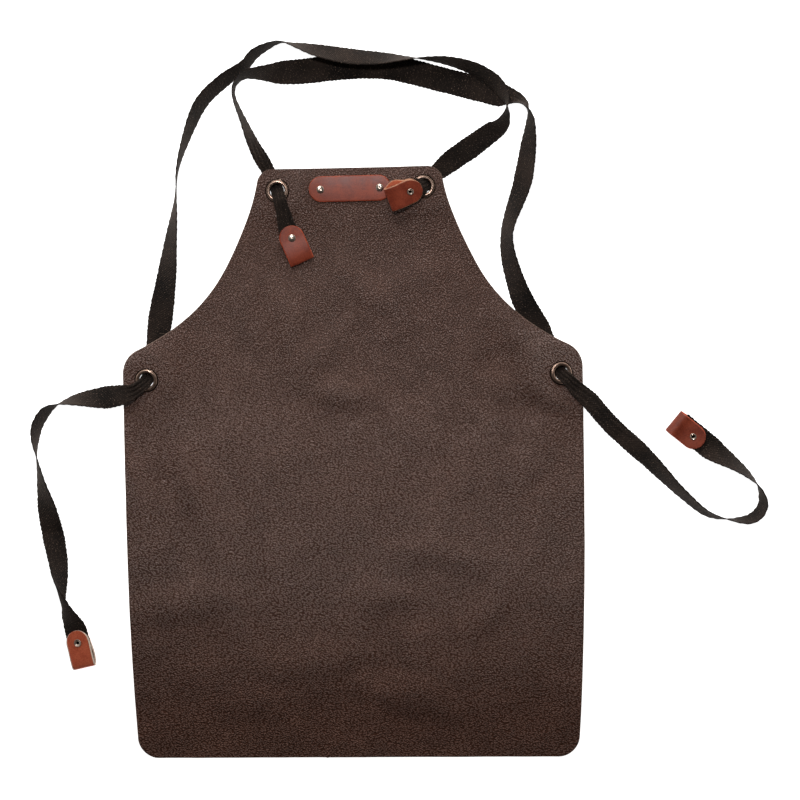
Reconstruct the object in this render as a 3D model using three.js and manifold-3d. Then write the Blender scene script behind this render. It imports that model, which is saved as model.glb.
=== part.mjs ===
// A leather bib apron, laid flat on a table with its front up.
// Millimetres, +Z up, +Y towards the bib. The origin is on the table, under the middle of the leather panel.
// Two tapes cross behind the neck: each runs from a bib eyelet to the side eyelet on the other side.

import * as THREE from 'three';
import { mergeVertices } from 'three/addons/utils/BufferGeometryUtils.js';
import Module from 'manifold-3d';

const wasm = await Module();
wasm.setup();

// Driving dimensions
const PANEL = {
  thickness: 1.8,
  top: 375,
  hem: -379,
  topCorner: 16.5,
  hemCorner: 25.5,
  columns: 24,
  topRise: 0.022, // the bib's top edge climbs this much for each millimetre to the right
  topRiseFrom: -538,
  lean: 0.0165, // the middle line drifts left by this much for each millimetre up
  leanShift: 1.9,
};
const ARMHOLE = { x: 394.7, y: 395.4, radius: 276.5, wave: 2.3, waveLength: 182 };
const SIDE = { half: 294, bow: 14, run: 505, corner: 32 };
const PANEL_ROWS = { hemCorner: 4, side: 14, sideCorner: 3, armhole: 11, topCorner: 3 };
const EYELET = {
  outer: 15.4,
  inner: 9.3,
  barrel: 10.2,
  hole: 10.6,
  clear: 0.5,
  rise: 1.9,
  back: 14.2,
  backRise: 0.8,
  sides: 16,
};
const LABEL = { x: -3.8, y: 348.2, length: 104, height: 33, corner: 15.5, thickness: 2, turn: 1.5, columns: 6 };
const TAB = { width: 32, leaf: 2, gap: 2.1, hole: 2.4 };
const TAPE = { width: 32, section: 48, inTab: 31, rest: 0.05, perRow: 2, edge: 0.6, inset: 9.5, past: 1 };
const RIVET = { cap: 4.8, dome: 1.6, shank: 2, ring: 3.9, roll: 0.7, bore: 1.7, deep: 1, sides: 10 };
const GAP = 0.3;
const FACETS = 24;
const DRILL = 40; // longer than any stack of layers that a hole goes through

// Where the leather stands off the table, each hill a smooth mound that is nothing past its reach.
// Columns: x, y, reach along, reach across, turn in degrees, height
const HILLS = [
  [-4, 352, 192, 77, 0, 7.7],
  [-96, 346, 70, 70, 0, 6.4],
  [90, 351, 70, 70, 0, 6.4],
  [-253, 134, 96, 58, 75.5, 12.2],
  [230, 143, 122, 51, -57, 14.1],
  [222, 6, 95, 34, 60, 4.5],
  [45, 211, 90, 44, 25, 2.6],
  [-192, 26, 59, 102, 20, 2.6],
  [-102, -294, 115, 44, 8, 2.8],
  [166, -275, 77, 51, -20, 2.6],
];

// The rims press the leather flat out to the flat radius, and it is back on its hill at the blend radius.
// Columns: name, x, y, flat, blend
const EYELETS = [
  ['bib_left', -96.5, 345, 19, 44],
  ['bib_right', 90, 351, 19, 44],
  ['side_left', -263.5, 103.5, 22, 50],
  ['side_right', 266, 112.5, 28, 58],
];

// Heading runs from a tab's fold to its round end, pitch raises the round end, and roll raises its left edge.
// Columns: name, x, y, z, heading, pitch, roll, length, whether the rivet's cap is up
const TABS = [
  ['bib_left', -78, 285, 8.6, 114, 4, 0, 50, true],
  ['bib_right', 73, 344, 23.6, 23, 0, 18, 46.5, false],
  ['tail_left', -350.5, -232, 8, 104, 0, -18, 49, false],
  ['tail_right', 435, 31.5, 5.4, -39, 0, 8, 49, false],
].map(([name, x, y, z, heading, pitch, roll, length, capUp]) => {
  return { name, x, y, z, heading, pitch, roll, length, capUp };
});

const LABEL_RIVETS = [
  ['left', -42, 347],
  ['right', 34.5, 349.5],
];

// The tapes' routes as they lie. Roll is the lean of the tape's left edge above the table, and past a quarter
// turn the tape has flipped over. Lift is the height of its lower edge.
// Columns: x, y, roll in degrees, lift (0 if left out), width (the full tape if left out)
const STRAPS = [
  {
    name: 'strap_a',
    bib: 'bib_left',
    side: 'side_right',
    tail: 'tail_right',
    tailRoll: -188,
    tailSlip: 1.2,
    front: [
      [-89, 318.5, 0, 12, 18],
      [-93.5, 333.5, 0, 16.5, 13.5],
      [-96.5, 345, 0, 9.3, 12],
      [-101, 355.5, 0, 1.9, 13.5],
    ],
    back: [
      [-109, 372.5, 0, 0.4, 16.5],
      [-123.5, 398, 47, 0, 22],
      [-138, 430, 74, 0, 30.5],
      [-152.5, 467.5, 86],
      [-150.3, 481.5, 86],
      [-139.5, 492, 76],
      [-125, 494.5, 68],
      [-109, 495.5, 55],
      [-74, 497.7, 9],
      [34.5, 505, 0],
      [119, 486.8, 0],
      [190, 468.3, 0, 0, 31],
      [199, 466.6, -8, 0, 23],
      [206, 464.2, -30, 0, 22],
      [212.5, 461, -52, 0, 24.5],
      [217.7, 457, -68, 0, 27.5],
      [221.5, 451.5, -85, 0, 31],
      [226, 439.5, -104],
      [223.8, 400.5, -128],
      [217.5, 359.5, -138],
      [196.7, 288, -115.5],
      [212, 217.5, -140.5],
      [238.5, 167.5, -174, 0, 30],
      [254.5, 139.5, -180, 0.6, 18],
    ],
    out: [
      [261, 123.5, -180, 1, 13.5],
      [266, 112.5, -180, 7.3, 12],
      [274.5, 104.5, -180, 13.3, 13.5],
    ],
    tailRows: [
      [284, 94.5, -185, 9, 19],
      [304, 76.5, -197, 2.5, 24.5],
      [316, 62, -198, 0.4, 24.5],
      [331.5, 45, -192, 0, 23.5],
      [346, 31.5, -176, 0, 23],
      [376, 4, -137, 0, 27],
      [396.3, -17, -121, 0, 31],
      [417.5, -39, -111],
      [449, -64.5, -104],
      [464.5, -71, -99],
      [478.5, -74, -90],
      [493.5, -75.6, -78],
      [506.5, -74.5, -69],
      [517.5, -67.5, -67],
      [523.6, -55, -72],
      [522, -43, -79],
      [517, -31, -92],
      [508, -20.8, -104],
      [497, -11, -113],
      [481, 0.2, -127],
      [466.8, 9.2, -143],
    ],
  },
  {
    name: 'strap_b',
    bib: 'bib_right',
    side: 'side_left',
    tail: 'tail_left',
    tailRoll: -162,
    tailSlip: 0,
    front: [
      [91, 352, 15, 14, 14],
      [93, 353.5, 10, 8.1, 12],
      [95.5, 356, 5, 3.5, 12],
      [100.5, 361, 0, 1.8, 14.5],
    ],
    back: [
      [109, 370, 0, 0.5, 22],
      [128, 385.5, 27, 0, 30.5],
      [153.5, 403, 31],
      [182.5, 424.7, 40, 0.3],
      [189.5, 431, 54, 1.3],
      [193.4, 440, 70, 3.5],
      [195.6, 448, 81, 5],
      [196.5, 455, 92, 5.6],
      [194, 465.5, 112, 5.6],
      [183.5, 481.5, 121, 4.3],
      [170, 492, 121, 3.3],
      [152.5, 501.5, 116, 1.3],
      [118, 511, 104],
      [89.5, 514, 90],
      [57.5, 514.3, 70],
      [34.5, 514.6, 56],
      [-6.5, 517.6, 46],
      [-50, 524.6, 57],
      [-71.5, 530.5, 73],
      [-93.5, 535, 90],
      [-111.5, 528.5, 102],
      [-126, 519.3, 110],
      [-138, 505, 109],
      [-163, 487.3, 118],
      [-190.5, 461, 118],
      [-206.5, 431, 112],
      [-223.5, 372, 91],
      [-226.5, 334, 83],
      [-238.5, 231.5, 34],
      [-246.5, 180.5, 8],
      [-251, 150, 3, 0.3, 28],
      [-257.5, 126.5, 0, 0.6, 18],
    ],
    out: [
      [-260.5, 114.5, 0, 0.8, 13.5],
      [-263.5, 103.5, 0, 7.9, 12],
      [-271.5, 95.5, 0, 15.6, 13.5],
    ],
    tailRows: [
      [-281.5, 88.5, 5, 10.2, 19],
      [-295.5, 84.5, 20, 6.7, 28],
      [-316, 81.5, 26, 0.6],
      [-357, 77.5, 67],
      [-377, 72.5, 89],
      [-390.4, 65, 111],
      [-402.6, 44.5, 113],
      [-405, 24, 101],
      [-404.4, 13, 90],
      [-398, -27, 66],
      [-393, -47.5, 50, 0, 31.5],
      [-385, -88, 4, 0, 27.5],
      [-380.4, -109, -24, 0, 28],
      [-376.3, -129, -43, 0, 30.5],
      [-373.2, -151, -57],
      [-370.8, -172, -79],
      [-368.2, -181.5, -107],
      [-364.5, -191.5, -122],
      [-359.6, -203.5, -140],
    ],
  },
];

const finish = {
  leather: new THREE.MeshStandardMaterial({ color: '#4a3b34', roughness: 0.6 }),
  cognac: new THREE.MeshStandardMaterial({ color: '#7c3a26', roughness: 0.5 }),
  tape: new THREE.MeshStandardMaterial({ color: '#1c1815', roughness: 0.95 }),
  copper: new THREE.MeshStandardMaterial({ color: '#6b5148', roughness: 0.35, metalness: 1 }),
  nickel: new THREE.MeshStandardMaterial({ color: '#a89a90', roughness: 0.3, metalness: 1 }),
};

const radians = THREE.MathUtils.degToRad;

// Closed bodies, joins and cuts

// Shared corners merged, empty triangles dropped and faces turned outward.
function closedBody(geometry) {
  geometry.deleteAttribute('normal');
  geometry.deleteAttribute('uv');
  const merged = mergeVertices(geometry, 1e-4);
  const at = merged.getAttribute('position');
  const index = merged.getIndex().array;
  const corner = (i) => new THREE.Vector3().fromBufferAttribute(at, i);
  let faces = [];
  let volume = 0;
  for (let i = 0; i < index.length; i += 3) {
    const [a, b, c] = [index[i], index[i + 1], index[i + 2]];
    if (a === b || b === c || c === a) continue;
    faces.push([a, b, c]);
    volume += corner(a).dot(corner(b).cross(corner(c)));
  }
  if (volume < 0) faces = faces.map(([a, b, c]) => [a, c, b]);
  merged.setIndex(faces.flat());
  return merged;
}

function solid(geometry) {
  const body = closedBody(geometry);
  const vertProperties = new Float32Array(body.getAttribute('position').array);
  const triVerts = new Uint32Array(body.getIndex().array);
  return new wasm.Manifold(new wasm.Mesh({ numProp: 3, vertProperties, triVerts }));
}

function geometryOf(body) {
  const { vertProperties, triVerts } = body.getMesh();
  const geometry = new THREE.BufferGeometry();
  geometry.setAttribute('position', new THREE.BufferAttribute(vertProperties, 3));
  geometry.setIndex(new THREE.BufferAttribute(triVerts, 1));
  return geometry;
}

// The faces between rings of corners that all have the same length. The second half of each ring, which runs
// back over the first, is split along the same diagonals, so a twisted wall keeps its thickness.
function sideFaces(rings) {
  const sides = rings[0].length;
  const faces = [];
  for (let r = 0; r + 1 < rings.length; r += 1) {
    for (let k = 0; k < sides; k += 1) {
      const [a, b] = [r * sides + k, r * sides + ((k + 1) % sides)];
      const [c, d] = [b + sides, a + sides];
      if (k < sides / 2) faces.push(a, b, c, a, c, d);
      else faces.push(a, b, d, b, c, d);
    }
  }
  return faces;
}

// A body through rings, each a row of corners under it followed by the row over it reversed. Both ends are
// closed by a strip between the two rows.
function loft(rings) {
  const sides = rings[0].length;
  const last = (rings.length - 1) * sides;
  const faces = sideFaces(rings);
  for (let k = 0; k + 1 < sides / 2; k += 1) {
    const [a, b, c, d] = [k, k + 1, sides - 2 - k, sides - 1 - k];
    faces.push(a, c, b, a, d, c);
    faces.push(last + a, last + b, last + c, last + a, last + c, last + d);
  }
  const geometry = new THREE.BufferGeometry().setFromPoints(rings.flat());
  geometry.setIndex(faces);
  return geometry;
}

// A round rod along local Z, for cutting a hole.
function rod(radius, sides) {
  return new THREE.CylinderGeometry(radius, radius, DRILL, sides).rotateX(Math.PI / 2);
}

// A turned body about local Z, from a profile of radius and height.
function turned(profile, sides) {
  const points = profile.map(([radius, height]) => new THREE.Vector2(radius, height));
  return new THREE.LatheGeometry(points, sides).rotateX(Math.PI / 2);
}

// The leather panel

function hillHeight(x, y) {
  let height = 0;
  for (const [hillX, hillY, along, across, turn, rise] of HILLS) {
    const [c, s] = [Math.cos(radians(turn)), Math.sin(radians(turn))];
    const u = ((x - hillX) * c + (y - hillY) * s) / along;
    const v = ((y - hillY) * c - (x - hillX) * s) / across;
    const left = Math.max(0, 1 - u * u - v * v);
    height += rise * left * left;
  }
  return height;
}

function slopes(heightAt, x, y) {
  const step = 3;
  const alongX = (heightAt(x + step, y) - heightAt(x - step, y)) / (2 * step);
  const alongY = (heightAt(x, y + step) - heightAt(x, y - step)) / (2 * step);
  return [alongX, alongY];
}

// The plane of the leather at each eyelet, where its rims press it flat.
const pressed = EYELETS.map(([, x, y, flat, blend]) => {
  const [slopeX, slopeY] = slopes(hillHeight, x, y);
  return { x, y, flat, blend, height: hillHeight(x, y), slopeX, slopeY };
});

// The height of the leather's underside above the table.
function lift(x, y) {
  let height = hillHeight(x, y);
  for (const at of pressed) {
    const away = Math.hypot(x - at.x, y - at.y);
    const plane = at.height + at.slopeX * (x - at.x) + at.slopeY * (y - at.y);
    height = THREE.MathUtils.lerp(plane, height, THREE.MathUtils.smoothstep(away, at.flat, at.blend));
  }
  return height;
}

// A frame on the leather's middle layer, its Z along the leather's own normal.
function onLeather(x, y) {
  const [slopeX, slopeY] = slopes(lift, x, y);
  const normal = new THREE.Vector3(-slopeX, -slopeY, 1).normalize();
  const turn = new THREE.Quaternion().setFromUnitVectors(new THREE.Vector3(0, 0, 1), normal);
  const at = new THREE.Vector3(x, y, lift(x, y) + PANEL.thickness / 2);
  return new THREE.Matrix4().compose(at, turn, new THREE.Vector3(1, 1, 1));
}

// The round corner between the side and the armhole touches both.
const cornerX = SIDE.half - SIDE.corner;
const cornerReach = ARMHOLE.radius + SIDE.corner;
const cornerY = ARMHOLE.y - Math.sqrt(cornerReach ** 2 - (ARMHOLE.x - cornerX) ** 2);
const armholeStart = ARMHOLE.y - ((ARMHOLE.y - cornerY) * ARMHOLE.radius) / cornerReach;

const roundOff = (radius, past) => radius - Math.sqrt(Math.max(0, radius ** 2 - past ** 2));

// Half the panel's width at height y.
function halfWidth(y) {
  const topStart = PANEL.top - PANEL.topCorner;
  const hemStart = PANEL.hem + PANEL.hemCorner;
  if (y > armholeStart) {
    const cut = roundOff(PANEL.topCorner, Math.max(0, y - topStart));
    const wave = ARMHOLE.wave * Math.sin((2 * Math.PI * (y - armholeStart)) / ARMHOLE.waveLength);
    return ARMHOLE.x - Math.sqrt(ARMHOLE.radius ** 2 - (ARMHOLE.y - y) ** 2) - wave - cut;
  }
  if (y > cornerY) return cornerX + Math.sqrt(SIDE.corner ** 2 - (y - cornerY) ** 2);
  const cut = roundOff(PANEL.hemCorner, Math.max(0, hemStart - y));
  return SIDE.half - SIDE.bow * ((cornerY - y) / SIDE.run) ** 3 - cut;
}

// The heights of the panel's rows, close together where its outline turns.
function panelRows() {
  const quarter = Math.PI / 2;
  const spread = (count, place) => Array.from({ length: count }, (_, k) => place(k / count));
  const hemStart = PANEL.hem + PANEL.hemCorner;
  const topStart = PANEL.top - PANEL.topCorner;
  const low = Math.asin((ARMHOLE.y - armholeStart) / ARMHOLE.radius);
  const high = Math.asin((ARMHOLE.y - topStart) / ARMHOLE.radius);
  const cornerTurn = Math.asin((armholeStart - cornerY) / SIDE.corner);
  return [
    ...spread(PANEL_ROWS.hemCorner, (t) => hemStart - PANEL.hemCorner * Math.cos(t * quarter)),
    ...spread(PANEL_ROWS.side, (t) => hemStart + t * (cornerY - hemStart)),
    ...spread(PANEL_ROWS.sideCorner, (t) => cornerY + SIDE.corner * Math.sin(t * cornerTurn)),
    ...spread(PANEL_ROWS.armhole, (t) => ARMHOLE.y - ARMHOLE.radius * Math.sin(low + t * (high - low))),
    ...spread(PANEL_ROWS.topCorner, (t) => topStart + PANEL.topCorner * Math.sin(t * quarter)),
    PANEL.top,
  ];
}

// A wall of leather over rows of places, its underside a given height above what it lies on.
function leatherWall(rows, base, thickness) {
  const rings = rows.map((row) => {
    const under = row.map(([x, y]) => new THREE.Vector3(x, y, lift(x, y) + base));
    const over = under.map((p) => new THREE.Vector3(p.x, p.y, p.z + thickness));
    return [...under, ...over.reverse()];
  });
  return loft(rings);
}

function apronPanel() {
  const rows = panelRows().map((y) => {
    const middle = PANEL.leanShift - PANEL.lean * y;
    const climb = (PANEL.topRise * Math.max(0, y - PANEL.topRiseFrom)) / (PANEL.top - PANEL.topRiseFrom);
    return Array.from({ length: PANEL.columns + 1 }, (_, k) => {
      const x = ((2 * k) / PANEL.columns - 1) * halfWidth(y);
      return [middle + x, y + climb * x];
    });
  });
  let panel = solid(leatherWall(rows, 0, PANEL.thickness));
  for (const [, x, y] of EYELETS) {
    panel = panel.subtract(solid(rod(EYELET.hole, FACETS).applyMatrix4(onLeather(x, y))));
  }
  for (const [, x, y] of LABEL_RIVETS) {
    panel = panel.subtract(solid(rod(TAB.hole, RIVET.sides).applyMatrix4(onLeather(x, y))));
  }
  return geometryOf(panel);
}

// Metal

// A domed rim over the leather, a barrel through it and a flat rim behind.
function eyelet() {
  const { outer, inner, barrel, rise, back, backRise } = EYELET;
  const face = PANEL.thickness / 2 + EYELET.clear;
  const [middle, half] = [(outer + inner) / 2, (outer - inner) / 2];
  const dome = [0, 45, 90, 135, 180].map((turn) => {
    return [middle + half * Math.cos(radians(turn)), face + rise * Math.sin(radians(turn))];
  });
  const profile = [
    [barrel, face],
    ...dome,
    [inner, -face],
    [barrel, -face - backRise],
    [back, -face - backRise],
    [back, -face],
    [barrel, -face],
    [barrel, face],
  ];
  return closedBody(turned(profile, EYELET.sides));
}

// A tubular rivet: a domed cap on one side, a shank and a rolled ring with a dark bore on the other.
function rivet(reach) {
  const { cap, dome, shank, ring, roll, bore, deep } = RIVET;
  const face = reach / 2 + GAP;
  const domeTop = [0, 30, 60, 90].map((turn) => {
    return [cap * Math.sin(radians(turn)), face + dome * Math.cos(radians(turn))];
  });
  const profile = [
    ...domeTop,
    [shank, face],
    [shank, -face],
    [ring, -face],
    [ring - roll / 2, -face - roll],
    [bore, -face - roll],
    [bore, -face + deep],
    [0, -face + deep],
  ];
  return closedBody(turned(profile, RIVET.sides));
}

// The label, laid on the leather

function labelTag() {
  const { length, height, corner, thickness, columns } = LABEL;
  const turn = new THREE.Matrix4().makeRotationZ(radians(LABEL.turn));
  const straight = height / 2 - corner;
  const lower = [90, 60, 30, 0].map((angle) => {
    return [-straight - corner * Math.sin(radians(angle)), corner * (1 - Math.cos(radians(angle)))];
  });
  const upper = lower.map(([y, inset]) => [-y, inset]).reverse();
  const rows = [...lower, ...upper].map(([y, inset]) =>
    Array.from({ length: columns + 1 }, (_, k) => {
      const x = (k / columns - 0.5) * (length - 2 * inset);
      const p = new THREE.Vector3(x, y, 0).applyMatrix4(turn);
      return [LABEL.x + p.x, LABEL.y + p.y];
    }),
  );
  let label = solid(leatherWall(rows, PANEL.thickness + 2 * GAP, thickness));
  for (const [, x, y] of LABEL_RIVETS) {
    label = label.subtract(solid(rod(TAB.hole, RIVET.sides).applyMatrix4(onLeather(x, y))));
  }
  return geometryOf(label);
}

// Tabs: a strip folded over the tape's end, rounded at its open end, its rivet at the round end's centre

const tabHeight = 2 * TAB.leaf + TAB.gap;

function tabFrame({ x, y, z, heading, pitch, roll }) {
  const turn = new THREE.Euler(radians(roll), radians(-pitch), radians(heading), 'ZYX');
  const quaternion = new THREE.Quaternion().setFromEuler(turn);
  return new THREE.Matrix4().compose(new THREE.Vector3(x, y, z), quaternion, new THREE.Vector3(1, 1, 1));
}

function foldedTab(length) {
  const round = TAB.width / 2;
  const fold = round - length;
  const outer = tabHeight / 2;
  const inner = TAB.gap / 2;
  const leaf = new THREE.Shape();
  leaf.moveTo(round, outer);
  leaf.lineTo(fold + outer, outer);
  leaf.absarc(fold + outer, 0, outer, Math.PI / 2, (3 * Math.PI) / 2, false);
  leaf.lineTo(round, -outer);
  leaf.lineTo(round, -inner);
  leaf.lineTo(fold + outer, -inner);
  leaf.absarc(fold + outer, 0, inner, (3 * Math.PI) / 2, Math.PI / 2, true);
  leaf.lineTo(round, inner);
  leaf.closePath();
  const strip = new THREE.ExtrudeGeometry(leaf, { depth: TAB.width, bevelEnabled: false, curveSegments: 5 });
  strip.rotateX(Math.PI / 2).translate(0, TAB.width / 2, 0);
  const pastFold = fold - TAB.leaf;
  const plan = new THREE.Shape();
  plan.moveTo(pastFold, -round);
  plan.lineTo(0, -round);
  plan.absarc(0, 0, round, -Math.PI / 2, Math.PI / 2, false);
  plan.lineTo(pastFold, round);
  plan.closePath();
  const outline = new THREE.ExtrudeGeometry(plan, { depth: DRILL, bevelEnabled: false, curveSegments: 8 });
  outline.translate(0, 0, -DRILL / 2);
  return solid(strip).intersect(solid(outline)).subtract(solid(rod(TAB.hole, RIVET.sides)));
}

// Tapes

// The tape's two ends lie straight inside their tabs, one of them slipped sideways.
function endRows({ x, y, z, heading, pitch, length }, into, roll, slip = 0) {
  const [c, s] = [Math.cos(radians(heading)), Math.sin(radians(heading))];
  const reach = (TAPE.inTab / 2) * Math.abs(Math.sin(radians(roll)));
  const half = (TAPE.section / TAPE.inTab / 2) * Math.abs(Math.cos(radians(roll)));
  const fold = TAB.width / 2 - length;
  const rows = [fold + TAPE.inset, 0, TAB.width / 2 + TAPE.past].map((d) => {
    const middle = z + d * Math.sin(radians(pitch)) + slip * Math.tan(radians(-roll));
    return [x + c * d - s * slip, y + s * d + c * slip, roll, middle - reach - half - TAPE.rest, TAPE.inTab];
  });
  return into ? rows.reverse() : rows;
}

// One ring of the tape's section: flat, with thin edges, and thicker where it is gathered.
function tapeRing(centre, forward, roll, width) {
  const left = new THREE.Vector3(0, 0, 1).cross(forward).normalize();
  const up = new THREE.Vector3().crossVectors(forward, left);
  const [c, s] = [Math.cos(roll), Math.sin(roll)];
  const across = left.clone().multiplyScalar(c).addScaledVector(up, s);
  const through = up.clone().multiplyScalar(c).addScaledVector(left, -s);
  const thick = TAPE.section / width;
  const inset = TAPE.edge * thick;
  const corners = [
    [width / 2, 0],
    [width / 2 - inset, -thick / 2],
    [inset - width / 2, -thick / 2],
    [-width / 2, 0],
    [inset - width / 2, thick / 2],
    [width / 2 - inset, thick / 2],
  ];
  return corners.map(([a, b]) => centre.clone().addScaledVector(across, a).addScaledVector(through, b));
}

function tape(strap) {
  const [bibTab, tailTab] = [strap.bib, strap.tail].map((name) => TABS.find((tab) => tab.name === name));
  const rows = [
    ...endRows(bibTab, false, bibTab.roll),
    ...strap.front,
    ...strap.back,
    ...strap.out,
    ...strap.tailRows,
    ...endRows(tailTab, true, strap.tailRoll, strap.tailSlip),
  ].map(([x, y, roll, low = 0, width = TAPE.width]) => ({ x, y, roll, low, width }));
  const route = new THREE.CatmullRomCurve3(rows.map(({ x, y }) => new THREE.Vector3(x, y, 0)));
  const count = (rows.length - 1) * TAPE.perRow;
  const stations = Array.from({ length: count + 1 }, (_, i) => {
    const k = Math.min(Math.floor(i / TAPE.perRow), rows.length - 2);
    const part = i / TAPE.perRow - k;
    const between = (name) => THREE.MathUtils.lerp(rows[k][name], rows[k + 1][name], part);
    const [roll, width] = [radians(between('roll')), between('width')];
    const centre = route.getPoint(i / count);
    const reach = (width / 2) * Math.abs(Math.sin(roll));
    centre.z = between('low') + reach + (TAPE.section / width / 2) * Math.abs(Math.cos(roll)) + TAPE.rest;
    return { centre, roll, width };
  });
  const rings = stations.map(({ centre, roll, width }, i) => {
    const before = stations[Math.max(i - 1, 0)].centre;
    const after = stations[Math.min(i + 1, count)].centre;
    return tapeRing(centre, after.clone().sub(before).normalize(), roll, width);
  });
  let body = solid(loft(rings));
  for (const tab of [bibTab, tailTab]) {
    body = body.subtract(solid(rod(TAB.hole, RIVET.sides).applyMatrix4(tabFrame(tab))));
  }
  return geometryOf(body);
}

// The assembly

const apron = new THREE.Group();

function add(name, geometry, material, frame) {
  const mesh = new THREE.Mesh(geometry, material);
  mesh.name = name;
  if (frame) frame.decompose(mesh.position, mesh.quaternion, mesh.scale);
  apron.add(mesh);
  return mesh;
}

add('apron_panel', apronPanel(), finish.leather);

for (const [name, x, y] of EYELETS) {
  add(`eyelet_${name}`, eyelet(), finish.copper, onLeather(x, y));
}

add('label_tag', labelTag(), finish.cognac);

const labelStack = PANEL.thickness + 2 * GAP + LABEL.thickness;
for (const [name, x, y] of LABEL_RIVETS) {
  const raise = new THREE.Matrix4().makeTranslation(0, 0, (labelStack - PANEL.thickness) / 2);
  add(`label_rivet_${name}`, rivet(labelStack + 2 * GAP), finish.nickel, onLeather(x, y).multiply(raise));
}

for (const tab of TABS) {
  const frame = tabFrame(tab);
  add(`tab_${tab.name}`, geometryOf(foldedTab(tab.length)), finish.cognac, frame);
  const flip = new THREE.Matrix4().makeRotationX(tab.capUp ? 0 : Math.PI);
  add(`rivet_${tab.name}`, rivet(tabHeight), finish.nickel, frame.clone().multiply(flip));
}

for (const strap of STRAPS) add(strap.name, tape(strap), finish.tape);

export default apron;
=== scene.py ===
# %% [markdown]
# # A leather bib apron, laid flat
#
# The apron is one cut of dark tumbled cowhide with a bib, two hollow armholes and a square skirt. Two
# black cotton tapes start in folded cognac tabs on the bib, go down through its eyelets, cross behind the
# neck, come up through the eyelets at the sides and end in two more tabs. The solid model already holds
# every piece at its real size, so this lesson dresses the pieces: each is rebuilt as a finer mesh on the
# same measures.

# %% Load the frame
import math

import bpy
import numpy as np
from mathutils import Matrix, Vector


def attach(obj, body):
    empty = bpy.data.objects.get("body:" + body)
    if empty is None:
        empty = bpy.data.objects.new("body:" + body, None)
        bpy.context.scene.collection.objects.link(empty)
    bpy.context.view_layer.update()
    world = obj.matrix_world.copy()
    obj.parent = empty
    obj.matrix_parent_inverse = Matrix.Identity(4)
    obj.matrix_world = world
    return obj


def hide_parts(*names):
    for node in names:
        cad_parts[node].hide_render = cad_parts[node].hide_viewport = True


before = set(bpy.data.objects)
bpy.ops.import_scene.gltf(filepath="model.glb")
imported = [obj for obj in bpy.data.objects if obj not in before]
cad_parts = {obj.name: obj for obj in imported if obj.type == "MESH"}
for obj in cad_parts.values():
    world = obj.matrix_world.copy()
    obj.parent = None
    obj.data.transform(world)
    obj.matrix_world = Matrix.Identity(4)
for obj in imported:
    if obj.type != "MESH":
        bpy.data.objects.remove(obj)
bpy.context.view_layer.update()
MM = 0.001  # the tables below are in millimetres, and Blender works in metres

# %% [markdown]
# ## Camera
#
# The photograph looks straight down and shows no perspective, so the camera hangs far above the table with a
# long lens. One pixel of the photograph is 1.28 mm, which makes the tape a standard 32 mm wide.

# %% Camera
PIXEL = 1.28  # millimetres on the table under one pixel of the photograph
PHOTO_SIDE = 800
ORIGIN_PIXEL = (353, 461)  # where the frame's origin lies in the photograph
CAMERA_HEIGHT = 4.6
SENSOR = 36

lens = bpy.data.cameras.new("camera")
lens.sensor_width = SENSOR
lens.lens = SENSOR * CAMERA_HEIGHT / (PHOTO_SIDE * PIXEL * MM)
camera = bpy.data.objects.new("camera", lens)
middle = PHOTO_SIDE / 2
camera.location = (
    (middle - ORIGIN_PIXEL[0]) * PIXEL * MM,
    (ORIGIN_PIXEL[1] - middle) * PIXEL * MM,
    CAMERA_HEIGHT,
)
bpy.context.collection.objects.link(camera)
bpy.context.scene.camera = camera
print(f"camera with a {lens.lens:.0f} mm lens, {CAMERA_HEIGHT} m above the table")

# %% [markdown]
# ## Colours and nodes
#
# Colours are written as sRGB hex, as they are read off a photograph, and one function turns them to the
# linear values that shaders work in. The others add a node with its settings and links, move a value to
# another range, do one step of arithmetic, and start a material from its shader's plain values.

# %% Colours and nodes
def linear(colour):
    """An sRGB hex colour as linear red, green, blue and alpha."""
    parts = [int(colour[i : i + 2], 16) / 255 for i in (1, 3, 5)]
    return (*[p / 12.92 if p <= 0.04045 else ((p + 0.055) / 1.055) ** 2.4 for p in parts], 1.0)


def add_node(tree, kind, inputs=None, **settings):
    """Add a node, set its properties, and fill its inputs with values or with the outputs of other nodes."""
    node = tree.nodes.new(kind)
    for name, value in settings.items():
        setattr(node, name, value)
    for name, value in (inputs or {}).items():
        if isinstance(value, bpy.types.NodeSocket):
            tree.links.new(value, node.inputs[name])
        else:
            node.inputs[name].default_value = value
    return node


def rescale(tree, value, low, high, to_low=0.0, to_high=1.0):
    """A value moved from one range to another, and held inside it."""
    inputs = {"Value": value, "From Min": low, "From Max": high, "To Min": to_low, "To Max": to_high}
    return add_node(tree, "ShaderNodeMapRange", inputs).outputs[0]


def work_out(tree, operation, *values):
    """One step of arithmetic on numbers or on the outputs of other nodes."""
    return add_node(tree, "ShaderNodeMath", dict(enumerate(values)), operation=operation).outputs[0]


def start_material(name, **values):
    """A material with one Principled shader, and that shader's plain values set on its own sockets."""
    material = bpy.data.materials.new(name)
    material.use_nodes = True
    tree = material.node_tree
    shader = tree.nodes["Principled BSDF"]
    for socket, value in values.items():
        shader.inputs[socket.replace("_", " ")].default_value = value
    return material, tree, shader


# %% [markdown]
# ## Studio
#
# A flash head high over the bib, a little to its left, lights the leather almost along the line of sight,
# so the tops of the grain shine. A grid narrows its beam and the light fades out before the hem. A low
# softbox beyond the bib rakes over the grain and draws a long highlight on the metal. The room around is
# dark overhead and pale near the floor, and the table glows as a light table does, so that it stays white
# with hardly a shadow.

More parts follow.
